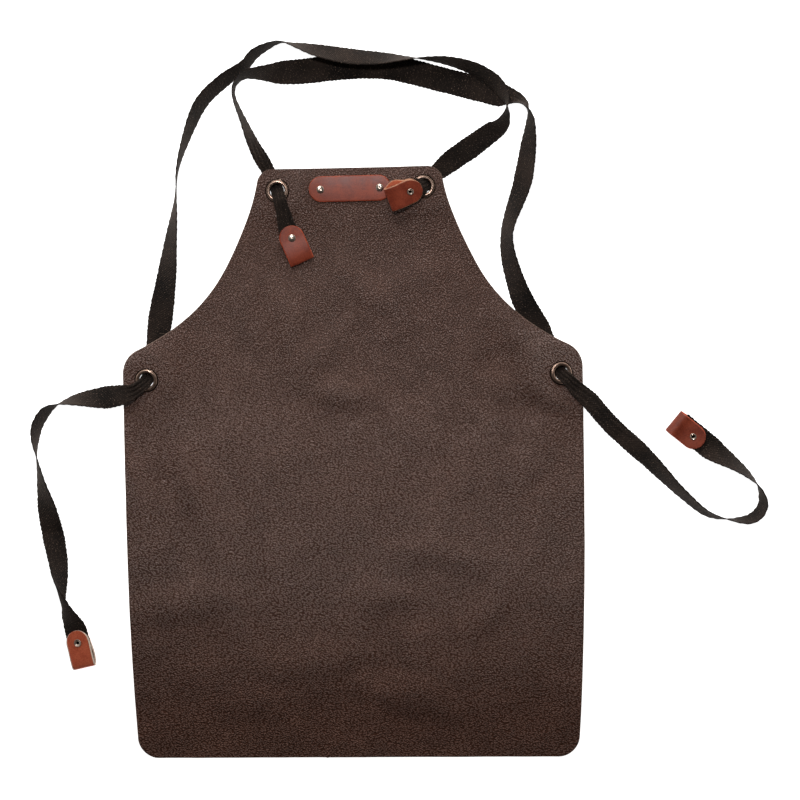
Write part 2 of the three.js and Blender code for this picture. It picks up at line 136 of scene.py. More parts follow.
# %% Studio
FLASH = {"place": (-0.2, 1.05, 2.9), "aim": (0.0, 0.95, 0.0), "power": 170.0, "radius": 0.1}
BEAM_DEGREES, BEAM_BLEND = 46.6, 0.24
SOFTBOX = {"place": (-0.25, 1.6, 1.25), "aim": (0.0, 0.2, 0.0), "power": 14.0, "size": (1.0, 0.5)}
ZENITH, HORIZON, FALL_OFF = 0.05, 3.3, 3.0
HEM_WALL, BIB_WALL = -0.9, 0.7  # the room is dark behind the hem and pale behind the bib
TABLE_SIZE = 12.0

flash_light = bpy.data.lights.new("flash", "SPOT")
flash_light.energy = FLASH["power"]
flash_light.spot_size = math.radians(BEAM_DEGREES)
flash_light.spot_blend = BEAM_BLEND
flash_light.shadow_soft_size = FLASH["radius"]
softbox_light = bpy.data.lights.new("softbox", "AREA")
softbox_light.energy = SOFTBOX["power"]
softbox_light.shape = "RECTANGLE"
softbox_light.size, softbox_light.size_y = SOFTBOX["size"]
for light, stand in ((flash_light, FLASH), (softbox_light, SOFTBOX)):
    head = bpy.data.objects.new(light.name, light)
    head.location = stand["place"]
    head.rotation_euler = (Vector(stand["aim"]) - Vector(stand["place"])).to_track_quat("-Z", "Y").to_euler()
    head.visible_camera = False
    bpy.context.collection.objects.link(head)

world = bpy.data.worlds.new("studio")
world.use_nodes = True
bpy.context.scene.world = world
sky = world.node_tree
looking = add_node(sky, "ShaderNodeTexCoord").outputs["Generated"]
parts = add_node(sky, "ShaderNodeSeparateXYZ", {"Vector": looking}).outputs
steep = work_out(sky, "POWER", work_out(sky, "SUBTRACT", 1.0, parts["Z"]), FALL_OFF)
wall = work_out(sky, "MULTIPLY", steep, rescale(sky, parts["Y"], HEM_WALL, BIB_WALL))
glow = work_out(sky, "MULTIPLY_ADD", wall, HORIZON, ZENITH)
sky.links.new(glow, sky.nodes["Background"].inputs["Strength"])
sky.nodes["Background"].inputs["Color"].default_value = linear("#fffaf5")

table_paint, _, _ = start_material(
    "white light table",
    Base_Color=linear("#f0f0ee"),
    Roughness=0.9,
    Emission_Color=linear("#ffffff"),
    Emission_Strength=1.0,
)
half = TABLE_SIZE / 2
table_mesh = bpy.data.meshes.new("table")
table_corners = [(-half, -half, 0), (half, -half, 0), (half, half, 0), (-half, half, 0)]
table_mesh.from_pydata(table_corners, [], [(0, 1, 2, 3)])
table_mesh.materials.append(table_paint)
table = bpy.data.objects.new("table", table_mesh)
bpy.context.collection.objects.link(table)
bpy.context.scene.view_settings.view_transform = "Standard"
print("flash, softbox, room and table")

# %% [markdown]
# ## Mesh helpers
#
# Every piece is a mesh worked out with arrays: points in millimetres, then faces. These helpers do what the
# pieces share, and each piece notes which node of the solid model it stands for.

# %% Mesh helpers
made = []  # a row for each piece: the piece, the node that it stands for, and its slot in the record


def unit(vectors):
    return vectors / np.linalg.norm(vectors, axis=-1, keepdims=True)


def smooth_step(value, low, high):
    t = np.clip((value - low) / (high - low), 0, 1)
    return t * t * (3 - 2 * t)


def mesh_piece(name, points, faces, finishes, face_finish=None):
    """A smooth mesh from points in millimetres, with a finish for each face."""
    mesh = bpy.data.meshes.new(name)
    mesh.from_pydata((np.asarray(points) * MM).tolist(), [], faces)
    for finish in finishes:
        mesh.materials.append(finish)
    if face_finish is not None:
        mesh.polygons.foreach_set("material_index", face_finish)
    mesh.shade_smooth()
    piece = bpy.data.objects.new(name, mesh)
    bpy.context.collection.objects.link(piece)
    return piece


def stands_for(piece, node, slot):
    made.append((piece, node, slot))
    print(f"{piece.name}: {len(piece.data.polygons)} faces, stands for {node}")
    return piece


# %% [markdown]
# ## Patterns and relief
#
# The finishes share a few steps: a noise pattern whose size is given in millimetres, a mix of two colours,
# a relief that only the light sees, and the links to the shader's sockets.

# %% Patterns and relief
def per_mm(size):
    """The scale of a texture whose pattern repeats about every so many millimetres."""
    return 1 / (size * MM)


def noise(tree, vector, size, detail=2.0, output=0):
    inputs = {"Vector": vector, "Scale": per_mm(size), "Detail": detail}
    return add_node(tree, "ShaderNodeTexNoise", inputs).outputs[output]


def mix(tree, share, first, second):
    return add_node(tree, "ShaderNodeMix", {0: share, 6: first, 7: second}, data_type="RGBA").outputs[2]


def relief(tree, height, depth, strength=0.8):
    inputs = {"Height": height, "Strength": strength, "Distance": depth * MM}
    return add_node(tree, "ShaderNodeBump", inputs).outputs[0]


def link_sockets(tree, shader, **sources):
    for socket, source in sources.items():
        tree.links.new(source, shader.inputs[socket.replace("_", " ")])


# %% [markdown]
# ## Finish of the tapes
#
# The tapes are black cotton webbing in a twill weave. Cotton is matt, with a faint sheen from its loose
# fibres, and the twill shows as fine slanting ribs. The ribs could be modelled thread by thread, but at
# this distance a bump that follows the tape is enough: it reads a UV map with the real distance across and
# along the tape.

# %% Cotton twill webbing
TWILL_RIB = 2.6  # real ribs are 1 to 1.5 mm apart; they are drawn coarser so that they show
TWILL_SLANT = 38  # degrees
RIB_DEPTH = 0.22
WEAVE_MAP = "weave"


def cotton_webbing():
    material, tree, shader = start_material(
        "cotton twill webbing",
        Roughness=0.92,
        Specular_IOR_Level=0.15,
        Sheen_Weight=0.1,
        Sheen_Roughness=0.45,
        Sheen_Tint=linear("#b7a294"),
    )
    weave = add_node(tree, "ShaderNodeUVMap", uv_map=WEAVE_MAP).outputs["UV"]
    turns = 2 * math.pi * per_mm(TWILL_RIB)
    slant = (turns * math.sin(math.radians(TWILL_SLANT)), turns * math.cos(math.radians(TWILL_SLANT)), 0)
    phase = add_node(tree, "ShaderNodeVectorMath", {0: weave, 1: slant}, operation="DOT_PRODUCT")
    rib = work_out(tree, "SINE", phase.outputs["Value"])
    yarn = noise(tree, weave, 1.8)
    # patches of wear, partly painted sheen: lighter brown where the tape would catch the light
    wear_and_sheen = rescale(tree, noise(tree, weave, 45, 3.0), 0.35, 0.75)
    black = mix(tree, wear_and_sheen, linear("#0f0b09"), linear("#2a211c"))
    lint = rescale(tree, yarn, 0.6, 0.74)
    link_sockets(
        tree,
        shader,
        Base_Color=mix(tree, lint, black, linear("#66554a")),
        Normal=relief(tree, work_out(tree, "MULTIPLY_ADD", yarn, 1.4, rib), RIB_DEPTH),
    )
    return material


webbing = cotton_webbing()

# %% [markdown]
# ## Leather tabs: where they lie
#
# Each tape ends in a tab, a strip of leather folded over the tape's end and riveted. The tapes' ends lie
# inside the tabs, so the tabs' places come first. A tab's own axes start at its rivet: X runs to the round
# end.

# %% Where the tabs lie
TAB_WIDTH = 32.0
TAB_LEAF, TAB_GAP = 2.0, 2.1  # the thickness of a leaf, and the room for the tape between two
# name, x, y, z, heading, pitch, roll, length, whether the rivet's cap is up
TABS = {
    "bib_left": (-78, 285, 8.6, 114, 4, 0, 50, True),
    "bib_right": (73, 344, 23.6, 23, 0, 18, 46.5, False),
    "tail_left": (-350.5, -232, 8, 104, 0, -18, 49, False),
    "tail_right": (435, 31.5, 5.4, -39, 0, 8, 49, False),
}


def tab_axes(name):
    """The tab's own axes, as a matrix in millimetres."""
    x, y, z, heading, pitch, roll, _, _ = TABS[name]
    turn = Matrix.Rotation(math.radians(heading), 4, "Z")
    tip = Matrix.Rotation(math.radians(-pitch), 4, "Y")
    lean = Matrix.Rotation(math.radians(roll), 4, "X")
    return np.array(Matrix.Translation((x, y, z)) @ turn @ tip @ lean)


def placed(points, axes):
    """Points in a piece's own axes, moved to where the piece lies."""
    return np.asarray(points) @ axes[:3, :3].T + axes[:3, 3]


# %% [markdown]
# ## The tapes' routes
#
# A tape is limp: it lies flat, twists, stands on its edge and is gathered into pleats where it goes
# through an eyelet. A cloth simulation would find some such lie, but not this one, so each tape follows a
# table of places: x and y, the roll about its length, the height of its lowest point and its width. A
# centripetal Catmull-Rom curve joins the places without overshooting.

# %% Routes of the tapes
TAPE_WIDTH = 32
FLAT = 0  # roll of a tape that lies on its back
# x, y, roll in degrees, height of the lowest point, width
TAPE_A = [
    (-89, 318.5, FLAT, 12, 18),
    (-93.5, 333.5, FLAT, 16.5, 13.5),
    (-96.5, 345, FLAT, 9.3, 12),
    (-101, 355.5, FLAT, 1.9, 13.5),
    (-109, 372.5, FLAT, 0.4, 16.5),
    (-123.5, 398, 47, 0, 22),
    (-138, 430, 74, 0, 30.5),
    (-152.5, 467.5, 86),
    (-150.3, 481.5, 86),
    (-139.5, 492, 76),
    (-125, 494.5, 68),
    (-109, 495.5, 55),
    (-74, 497.7, 9),
    (34.5, 505, FLAT),
    (119, 486.8, FLAT),
    (190, 468.3, FLAT, 0, 31),
    (199, 466.6, -8, 0, 23),
    (206, 464.2, -30, 0, 22),
    (212.5, 461, -52, 0, 24.5),
    (217.7, 457, -68, 0, 27.5),
    (221.5, 451.5, -85, 0, 31),
    (226, 439.5, -104),
    (223.8, 400.5, -128),
    (217.5, 359.5, -138),
    (196.7, 288, -115.5),
    (212, 217.5, -140.5),
    (238.5, 167.5, -174, 0, 30),
    (254.5, 139.5, -180, 0.6, 18),
    (261, 123.5, -180, 1, 13.5),
    (266, 112.5, -180, 7.3, 12),
    (274.5, 104.5, -180, 13.3, 13.5),
    (284, 94.5, -185, 9, 19),
    (304, 76.5, -197, 2.5, 24.5),
    (316, 62, -198, 0.4, 24.5),
    (331.5, 45, -192, 0, 23.5),
    (346, 31.5, -176, 0, 23),
    (376, 4, -137, 0, 27),
    (396.3, -17, -121, 0, 31),
    (417.5, -39, -111),
    (449, -64.5, -104),
    (464.5, -71, -99),
    (478.5, -74, -90),
    (493.5, -75.6, -78),
    (506.5, -74.5, -69),
    (517.5, -67.5, -67),
    (523.6, -55, -72),
    (522, -43, -79),
    (517, -31, -92),
    (508, -20.8, -104),
    (497, -11, -113),
    (481, 0.2, -127),
    (466.8, 9.2, -143),
]
TAPE_B = [
    (91, 352, 15, 14, 14),
    (93, 353.5, 10, 8.1, 12),
    (95.5, 356, 5, 3.5, 12),
    (100.5, 361, FLAT, 1.8, 14.5),
    (109, 370, FLAT, 0.5, 22),
    (128, 385.5, 27, 0, 30.5),
    (153.5, 403, 31),
    (182.5, 424.7, 40, 0.3),
    (189.5, 431, 54, 1.3),
    (193.4, 440, 70, 3.5),
    (195.6, 448, 81, 5),
    (196.5, 455, 92, 5.6),
    (194, 465.5, 112, 5.6),
    (183.5, 481.5, 121, 4.3),
    (170, 492, 121, 3.3),
    (152.5, 501.5, 116, 1.3),
    (118, 511, 104),
    (89.5, 514, 90),
    (57.5, 514.3, 70),
    (34.5, 514.6, 56),
    (-6.5, 517.6, 46),
    (-50, 524.6, 57),
    (-71.5, 530.5, 73),
    (-93.5, 535, 90),
    (-111.5, 528.5, 102),
    (-126, 519.3, 110),
    (-138, 505, 109),
    (-163, 487.3, 118),
    (-190.5, 461, 118),
    (-206.5, 431, 112),
    (-223.5, 372, 91),
    (-226.5, 334, 83),
    (-238.5, 231.5, 34),
    (-246.5, 180.5, 8),
    (-251, 150, 3, 0.3, 28),
    (-257.5, 126.5, FLAT, 0.6, 18),
    (-260.5, 114.5, FLAT, 0.8, 13.5),
    (-263.5, 103.5, FLAT, 7.9, 12),
    (-271.5, 95.5, FLAT, 15.6, 13.5),
    (-281.5, 88.5, 5, 10.2, 19),
    (-295.5, 84.5, 20, 6.7, 28),
    (-316, 81.5, 26, 0.6),
    (-357, 77.5, 67),
    (-377, 72.5, 89),
    (-390.4, 65, 111),
    (-402.6, 44.5, 113),
    (-405, 24, 101),
    (-404.4, 13, 90),
    (-398, -27, 66),
    (-393, -47.5, 50, 0, 31.5),
    (-385, -88, 4, 0, 27.5),
    (-380.4, -109, -24, 0, 28),
    (-376.8, -129, -43, 0, 30.5),
    (-375.2, -151, -57),
    (-374.4, -172, -79),
    (-372, -181.5, -107),
    (-367.4, -191.5, -122),
    (-360.6, -203.5, -136),
]
IN_TAB = 31  # the tape is eased a little narrower inside its tabs
AT_BIB_TAB = 22  # and drawn in where it enters the tabs on the bib
GATHERED = 16.5  # the narrowest that its pleats make it
TAPE_SECTION = 48  # width times thickness, which stays the same where the tape is gathered
TAPE_REST = 0.05  # clearance above the table


def rows_in_tab(name, roll, at_end, slip=0):
    """The tape's three straight rows inside a tab, from its fold to past its round end, slipped sideways."""
    x, y, z, heading, pitch, _, length, _ = TABS[name]
    turn, climb, lean = (math.radians(angle) for angle in (heading, pitch, roll))
    reach = IN_TAB / 2 * abs(math.sin(lean))
    thick = TAPE_SECTION / IN_TAB / 2 * abs(math.cos(lean))
    rows = []
    for d, width in ((TAB_WIDTH / 2 - length + 9.5, IN_TAB), (0, IN_TAB), (TAB_WIDTH / 2 + 1, at_end)):
        low = z + d * math.sin(climb) + slip * math.tan(-lean) - reach - thick - TAPE_REST
        at_x = x + d * math.cos(turn) - slip * math.sin(turn)
        at_y = y + d * math.sin(turn) + slip * math.cos(turn)
        rows.append((at_x, at_y, roll, low, width))
    return rows


def whole_route(bib_tab, bib_roll, table_rows, tail_tab, tail_roll, slip):
    """All rows of a route from tab to tab, with the usual height and width where a row gives none."""
    bib_end = rows_in_tab(bib_tab, bib_roll, AT_BIB_TAB)
    tail_end = rows_in_tab(tail_tab, tail_roll, IN_TAB, slip)
    rows = bib_end + table_rows + tail_end[::-1]
    plain = (None, None, None, 0, TAPE_WIDTH)
    return np.array([list(row) + list(plain[len(row) :]) for row in rows], float)


def centripetal(place):
    """Points close together on the curve through the places, and which row each is at."""
    ends = np.vstack([2 * place[0] - place[1], place, 2 * place[-1] - place[-2]])
    points, at = [], []
    for k in range(len(place) - 1):
        p0, p1, p2, p3 = ends[k : k + 4]
        a, b, c = (math.sqrt(np.linalg.norm(step)) for step in (p1 - p0, p2 - p1, p3 - p2))
        leave = ((p1 - p0) / a - (p2 - p0) / (a + b) + (p2 - p1) / b) * b
        arrive = ((p2 - p1) / b - (p3 - p1) / (b + c) + (p3 - p2) / c) * b
        t = np.linspace(0, 1, 40, endpoint=False)[:, None]
        bend = 3 * (p2 - p1) - 2 * leave - arrive
        points.append(p1 + leave * t + bend * t**2 + (2 * (p1 - p2) + leave + arrive) * t**3)
        at.append(k + t[:, 0])
    return np.vstack(points + [place[-1:]]), np.append(np.concatenate(at), len(place) - 1)


# %% [markdown]
# ## The tapes' meshes
#
# A ring of points is set at every 0.8 mm along the route. Where the tape is gathered its section becomes
# pleats that run a little slantwise, and everywhere its selvages ruffle, because the weave draws in
# between the weft turns. A slight cup and wander keep the long runs from looking drawn with a ruler.

# %% Meshes of the tapes
RING_STEP = 0.8
ACROSS = 21  # points from selvage to selvage
TAPE_THICK, SELVAGE_THIN = 1.5, 0.45
SELVAGE_PITCH, RUFFLE, FLUTTER = 5.4, 0.32, 0.25
UNEVEN, CUP = 0.35, 0.9
PLEATS, PLEAT_RISE, PLEAT_TURN = 3.5, 0.95, 70
PLEATS_FROM, PLEATS_TO = 0.12, 0.5  # the share of its width that the tape has lost
# the cloth can't change more sharply than over these millimetres
ROLL_EASE, LOW_EASE, WIDTH_EASE, MIDDLE_EASE, TURN_EASE = 6, 2.5, 3, 2, 9
TWIST_SLANT, TWIST_ROWS = -16, 2.2  # one selvage turns over this far before the middle, within so many rows


def softened(values, reach):
    """A running mean with bell-shaped weights, over a reach in millimetres."""
    count = int(3 * reach / RING_STEP)
    weights = np.exp(-0.5 * (np.arange(-count, count + 1) * RING_STEP / reach) ** 2)
    return np.convolve(np.pad(values, count, mode="edge"), weights / weights.sum(), mode="valid")


def wander(along, lengths, seed):
    """A slow wave between about -1 and 1, from a few sines of unlike lengths."""
    shift = np.random.default_rng(seed).uniform(0, 2 * math.pi, len(lengths))
    waves = [np.sin(2 * math.pi * along / length + s) for length, s in zip(lengths, shift)]
    return sum(waves) / len(waves)


def tape(name, rows, seed, slant_row=-math.inf):
    """The tape's mesh and its centreline in metres; at one row its twist can lie slantwise, like a fold."""
    plan, at = centripetal(rows[:, :2])
    run = np.append(0, np.cumsum(np.linalg.norm(np.diff(plan, axis=0), axis=1)))
    along = np.linspace(0, run[-1], int(run[-1] / RING_STEP))
    x, y, row = (np.interp(along, run, values) for values in (plan[:, 0], plan[:, 1], at))
    roll, low, width = (np.interp(row, np.arange(len(rows)), rows[:, c]) for c in (2, 3, 4))
    roll = np.radians(softened(roll, ROLL_EASE))
    low, width = softened(low, LOW_EASE), softened(np.maximum(width, GATHERED), WIDTH_EASE)
    thick = TAPE_SECTION / width / 2
    z = low + width / 2 * np.abs(np.sin(roll)) + thick * np.abs(np.cos(roll)) + TAPE_REST
    centre = np.stack([x, y, softened(z, MIDDLE_EASE)], axis=1)

    q = np.linspace(-1, 1, ACROSS)[None, :]
    far = along[:, None]
    slant = TWIST_SLANT * np.exp(-(((row - slant_row) / TWIST_ROWS) ** 2))[:, None]
    turned_by = np.interp(far + slant * q, along, roll)[..., None]
    heading = np.gradient(centre, axis=0).T
    forward = unit(np.stack([softened(part, TURN_EASE) for part in heading], axis=1))
    left = unit(np.cross([0, 0, 1], forward))
    up = np.cross(forward, left)[:, None]
    left = left[:, None]
    across = left * np.cos(turned_by) + up * np.sin(turned_by)
    through = up * np.cos(turned_by) - left * np.sin(turned_by)

    gathered = smooth_step(1 - width / TAPE_WIDTH, PLEATS_FROM, PLEATS_TO)[:, None]
    spread = 1 - gathered
    edge = np.abs(q) ** 8
    phase = 2 * math.pi * far / SELVAGE_PITCH + 2 * wander(far, (17, 29), seed) + np.sign(q)
    uneven = UNEVEN * spread * wander(far, (23, 41, 67), seed + 1)
    side = q * (width[:, None] / 2 + RUFFLE * np.sin(phase) * edge + uneven)
    pleat = np.sin(math.pi * PLEATS * q + 2 * math.pi * far / PLEAT_TURN)
    cup = (q**2 - 0.33) * CUP * wander(far, (90, 140), seed + 2)
    flutter = FLUTTER * edge * np.sin(2 * math.pi * far / (1.9 * SELVAGE_PITCH) + 1.3 * np.sign(q))
    rise = PLEAT_RISE * gathered * pleat + spread * (cup + flutter)

    slope = np.gradient(rise, axis=1) / np.gradient(side, axis=1)
    lean = 1 / np.sqrt(1 + slope**2)
    half = TAPE_THICK / 2 * (1 - SELVAGE_THIN * np.abs(q) ** 10)
    cloth = centre[:, None] + side[..., None] * across + rise[..., None] * through
    skin = (half * lean)[..., None] * (through - slope[..., None] * across)
    points = np.concatenate([cloth + skin, (cloth - skin)[:, ::-1]], axis=1)
    points[..., 2] += np.maximum(0, TAPE_REST - points[..., 2].min(axis=1, keepdims=True))

    rings, ring = points.shape[:2]
    index = np.arange(rings * ring).reshape(rings, ring)
    onward = np.roll(index, -1, axis=1)
    sides = np.stack([index[:-1], index[1:], onward[1:], onward[:-1]], axis=2).reshape(-1, 4)
    faces = sides.tolist() + [index[0].tolist(), index[-1, ::-1].tolist()]
    piece = mesh_piece(name, points.reshape(-1, 3), faces, [webbing])

    flat_across = np.concatenate([q, q[:, ::-1]], axis=1) * TAPE_WIDTH / 2
    weave = np.stack(np.broadcast_arrays(flat_across, far), axis=2).reshape(-1, 2) * MM
    corners = np.empty(len(piece.data.loops), int)
    piece.data.loops.foreach_get("vertex_index", corners)
    piece.data.uv_layers.new(name=WEAVE_MAP).data.foreach_set("uv", weave[corners].ravel())
    return piece, centre * MM


ROUTE_A = whole_route("bib_left", 0, TAPE_A, "tail_right", -188, slip=2.6)
ROUTE_B = whole_route("bib_right", 18, TAPE_B, "tail_left", -162, slip=0)
LAST_TWIST = 57.6  # where tape_b turns over on its way to the tail's left tab, as a row of its route
tape_a, line_a = tape("tape_a", ROUTE_A, 11)
tape_b, line_b = tape("tape_b", ROUTE_B, 23, slant_row=LAST_TWIST)
stands_for(tape_a, "strap_a", "black_tape")
stands_for(tape_b, "strap_b", "black_tape")

# %% [markdown]
# ## Finishes of the leathers
#
# The panel is soft cowhide, drummed after tanning until its grain stands up in pebbles: matt in the
# valleys, with a dull gloss on the tops. A Voronoi texture gives the pebbles, rounder on the bib and drawn
# out sideways lower down, as the hide stretched there. The tabs and the label are firm vegetable-tanned
# leather, dyed cognac and smooth, with a paler cut edge and a napped flesh side.

# %% Tumbled cowhide
PEBBLE = 2.1  # millimetres between the tops of the grain
PEBBLE_DEPTH = 1.6  # deeper than the real grain, so that it shows at this distance
GRAIN_LIE = ((-45, 1.2), (-16, 1.4))  # degrees and stretch, on the bib and lower down
BIB_GRAIN, LOWER_GRAIN = 0.16, -0.06  # heights on the panel, in metres, between which one becomes the other
DRY_FROM, DRY_TO = -0.15, -0.33  # towards the hem the hide is drier: browner and less glossy
STIR = 6.0  # how far the grain's rows wander, in millimetres


def pebbles(tree, place, y):
    """How far up a pebble each point lies, from 0 in the valleys to 1 on the tops."""
    grains = []
    for turn, drawn_out in GRAIN_LIE:
        lie = add_node(
            tree,
            "ShaderNodeMapping",
            {"Vector": place, "Rotation": (0, 0, math.radians(turn)), "Scale": (drawn_out, 0.9, 1)},
            vector_type="TEXTURE",
        ).outputs[0]
        inputs = {"Vector": lie, "Scale": per_mm(PEBBLE)}
        cell = add_node(tree, "ShaderNodeTexVoronoi", inputs, voronoi_dimensions="2D")
        grains.append(cell.outputs["Distance"])
    lower = rescale(tree, y, BIB_GRAIN, LOWER_GRAIN)
    inputs = {0: lower, 2: grains[0], 3: grains[1]}
    away = add_node(tree, "ShaderNodeMix", inputs, data_type="FLOAT").outputs[0]
    return rescale(tree, work_out(tree, "MULTIPLY", away, away), 0.32, 0.0)


def tumbled_cowhide():
    material, tree, shader = start_material("tumbled cowhide", IOR=1.5)
    place = add_node(tree, "ShaderNodeTexCoord").outputs["Object"]
    inputs = {0: noise(tree, place, 14, output="Color"), 1: (STIR * MM,) * 3, 2: place}
    stirred = add_node(tree, "ShaderNodeVectorMath", inputs, operation="MULTIPLY_ADD").outputs[0]
    y = add_node(tree, "ShaderNodeSeparateXYZ", {"Vector": place}).outputs["Y"]
    dome = pebbles(tree, stirred, y)
    pored = work_out(tree, "MULTIPLY_ADD", noise(tree, stirred, 3), 0.8, dome)
    fullness = rescale(tree, noise(tree, place, 22), 0.3, 0.7, 0.65, 1.1)
    brown = mix(tree, dome, linear("#41291f"), linear("#6c4e43"))
    cloud = rescale(tree, noise(tree, place, 80, 3.0), 0.3, 0.7, 0.9, 1.08)
    dry = rescale(tree, y, DRY_FROM, DRY_TO, 1.0, 1.35)
    inputs = {"Value": work_out(tree, "MULTIPLY", cloud, dry), "Color": brown}
    shine = rescale(tree, dome, 0.0, 1.0, 0.3, 0.95)
    damp = rescale(tree, y, DRY_TO, DRY_FROM, 0.25, 1.0)
    link_sockets(
        tree,
        shader,
        Base_Color=add_node(tree, "ShaderNodeHueSaturation", inputs).outputs[0],
        Roughness=rescale(tree, dome, 0.0, 1.0, 0.6, 0.38),
        Specular_IOR_Level=work_out(tree, "MULTIPLY", shine, damp),
        Normal=relief(tree, work_out(tree, "MULTIPLY", pored, fullness), PEBBLE_DEPTH, strength=1.0),
    )
    return material


cowhide = tumbled_cowhide()

# %% [markdown]
# The other leather surfaces differ only in their two tones, the size of their grain and how matt they are,
# so one function makes them: cognac grain side, a copy of it painted lighter as painted light, cut edges
# dyed or left raw, and the napped flesh sides.

# %% Smooth leathers, cut edges and flesh sides
def plain_leather(name, dark, light, grain, depth, roughness, sheen=0.0):
    material, tree, shader = start_material(name, IOR=1.45, Sheen_Weight=sheen, Sheen_Roughness=0.5)
    place = add_node(tree, "ShaderNodeTexCoord").outputs["Object"]
    fine = noise(tree, place, grain, 3.0)
    cloud = noise(tree, place, 14)
    tone = rescale(tree, work_out(tree, "ADD", fine, cloud), 0.75, 1.25)
    link_sockets(
        tree,
        shader,
        Base_Color=mix(tree, tone, linear(dark), linear(light)),
        Roughness=rescale(tree, cloud, 0.0, 1.0, roughness - 0.08, roughness + 0.08),
        Normal=relief(tree, fine, depth),
    )
    return material


cognac = plain_leather("cognac vegetable-tanned leather", "#64220f", "#863820", 1.6, 0.08, 0.47)
# the same cognac painted lighter: painted light for the tab that lies where the flash fades out
cognac_painted_lit = plain_leather("cognac leather painted lighter as if lit", "#b34b30", "#d56c48", 1.6, 0.08, 0.45)
worn_edge = plain_leather("worn cut edge", "#8a553e", "#b78668", 1.2, 0.2, 0.75)
dyed_edge = plain_leather("dyed cut edge", "#8f3219", "#b5502f", 1.2, 0.2, 0.75)
raw_edge = plain_leather("raw cut edge", "#f0d8c2", "#fff2e4", 1.2, 0.2, 0.8)
cognac_flesh = plain_leather("napped cognac flesh side", "#a84a2c", "#cf6f4a", 1.2, 0.25, 0.9, 0.3)
hide_edge = plain_leather("cut edge of the cowhide", "#4a382f", "#8d7768", 1.2, 0.2, 0.8)
hide_flesh = plain_leather("napped flesh side of the cowhide", "#4d392e", "#6a5142", 1.5, 0.3, 0.92, 0.3)
print("leathers:", [m.name for m in bpy.data.materials if "leather" in m.name or "cowhide" in m.name])

# %% [markdown]
# ## A sheet of leather
#
# Panel, label and tabs are all cut from sheet. A grid of points on the grain side is enough to describe one:
# the flesh side lies one thickness below along the normals, and the cut edge joins them with a small
# rounding, so that it catches the light as a real edge does. Cells of the grid can be left out for a hole.

# %% A sheet of leather
GRAIN, CUT_EDGE, FLESH = 0, 1, 2  # the order of a sheet's three finishes


def leather_sheet(name, grain_side, thickness, rounding, finishes, holes=()):
    """A sheet under a grid of points; holes are (row, column) cells that are punched out."""
    rows, columns = grain_side.shape[:2]
    index = np.arange(rows * columns).reshape(rows, columns)
    normal = unit(np.cross(np.gradient(grain_side, axis=1), np.gradient(grain_side, axis=0)))
    top, up = grain_side.reshape(-1, 3).copy(), normal.reshape(-1, 3)
    under = top - thickness * up
    rim = np.concatenate([index[0, :-1], index[:-1, -1], index[-1, :0:-1], index[:0:-1, 0]])
    edge, rise = top[rim].copy(), up[rim]
    out = unit(np.cross(np.roll(edge, -1, axis=0) - np.roll(edge, 1, axis=0), rise))
    top[rim] = edge - rounding * out - 0.1 * rounding * rise
    under[rim] = edge - thickness * rise - rounding * out
    upper, lower = edge - rounding * rise, edge - (thickness - rounding) * rise

    cells = np.stack([index[:-1, :-1], index[:-1, 1:], index[1:, 1:], index[1:, :-1]], axis=2)
    kept = np.ones(cells.shape[:2], bool)
    for row, column in holes:
        kept[row, column] = False
    count = len(top)
    loops = [rim, np.arange(len(rim)) + 2 * count, np.arange(len(rim)) + 2 * count + len(rim), rim + count]
    faces, finish = [cells[kept], cells[kept][:, ::-1] + count], [GRAIN, FLESH]
    for first, second in zip(loops, loops[1:]):
        strip = [first, second, np.roll(second, -1), np.roll(first, -1)]
        faces.append(np.stack(strip, axis=1))
        finish.append(CUT_EDGE)
    wall = []
    for row, column in holes:
        corner = cells[row, column]
        beside = ((row - 1, column), (row, column + 1), (row + 1, column), (row, column - 1))
        for side, near in enumerate(beside):
            if kept[near]:
                a, b = corner[side], corner[(side + 1) % 4]
                wall.append((a, b, b + count, a + count))
    if wall:
        faces.append(np.array(wall))
        finish.append(CUT_EDGE)
    face_finish = np.repeat(finish, [len(f) for f in faces])
    points = np.vstack([top, under, upper, lower])
    used, faces = np.unique(np.vstack(faces), return_inverse=True)
    return mesh_piece(name, points[used], faces.reshape(-1, 4).tolist(), finishes, face_finish)


# %% [markdown]
# ## How the panel lies
#
# The panel lies on the table but not dead flat: the bib, the eyelets and a few soft folds stand off it by
# up to 14 mm. Each rise is a smooth hill with its own length, breadth and direction, and around each
# eyelet the pressed rims hold the leather to a plane.

# %% How the panel lies
HIDE_THICK = 1.8
# x, y, half length, half breadth, direction in degrees, height
HILLS = [
    (-4, 352, 192, 77, 0, 7.7),
    (-96, 346, 70, 70, 0, 6.4),
    (90, 351, 70, 70, 0, 6.4),
    (-253, 134, 96, 58, 75.5, 12.2),
    (230, 143, 122, 51, -57, 14.1),
    (222, 6, 95, 34, 60, 4.5),
    (45, 211, 90, 44, 25, 2.6),
    (-192, 26, 59, 102, 20, 2.6),
    (-102, -294, 115, 44, 8, 2.8),
    (166, -275, 77, 51, -20, 2.6),
]
# x, y, radius that is flat, radius where the hills are back
EYELETS = {
    "bib_left": (-96.5, 345, 19, 44),
    "bib_right": (90, 351, 19, 44),
    "side_left": (-263.5, 103.5, 22, 50),
    "side_right": (266, 112.5, 28, 58),
}
SLOPE_STEP = 3


def hill_height(x, y, hills=HILLS):
    height = np.zeros(np.broadcast(x, y).shape)
    for hill_x, hill_y, along, across, turn, rise in hills:
        c, s = math.cos(math.radians(turn)), math.sin(math.radians(turn))
        u = ((x - hill_x) * c + (y - hill_y) * s) / along
        v = ((y - hill_y) * c - (x - hill_x) * s) / across
        height = height + rise * np.maximum(0, 1 - u**2 - v**2) ** 2
    return height


def slopes(height_at, x, y):
    along_x = (height_at(x + SLOPE_STEP, y) - height_at(x - SLOPE_STEP, y)) / (2 * SLOPE_STEP)
    along_y = (height_at(x, y + SLOPE_STEP) - height_at(x, y - SLOPE_STEP)) / (2 * SLOPE_STEP)
    return along_x, along_y


